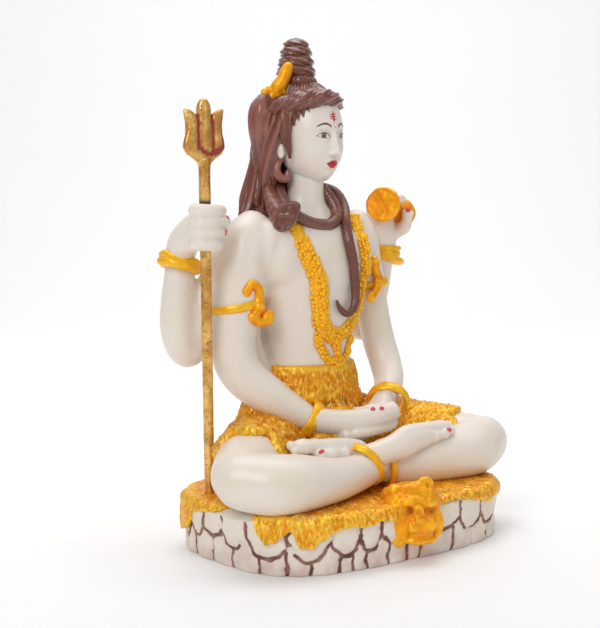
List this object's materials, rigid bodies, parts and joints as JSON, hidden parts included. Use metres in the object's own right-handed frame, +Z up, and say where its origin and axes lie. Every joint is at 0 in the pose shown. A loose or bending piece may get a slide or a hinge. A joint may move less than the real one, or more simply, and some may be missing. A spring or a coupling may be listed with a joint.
{
  "type": "shiva figure",
  "caption": "Seated Shiva figure in the lotus pose on an oval rock base with a draped tiger skin, cast in painted resin, with a separate upright brass trident and a small drum.",
  "frame": {"origin": "centre of the flat underside of the base", "axes": "the figure faces -Y, its own right hand with the trident is toward -X, +Z up"},
  "size_m": [0.099, 0.0666, 0.135],
  "materials": {
    "white_resin": "polished warm white marble-dust resin",
    "aged_brass": "worn, with small green and black spots",
    "hair_paint": "glossy maroon-brown paint on the hair, cobra and earrings",
    "gold_paint": "orange-gold paint on skins, garlands, bands, drum and crescent",
    "red_paint": "glossy red paint on nails, lips and trident",
    "stone_wall": "white resin stones with brown painted joints"
  },
  "bodies": {
    "root": {"seated_figure": "white_resin", "trident": "aged_brass"}
  },
  "joints": []
}
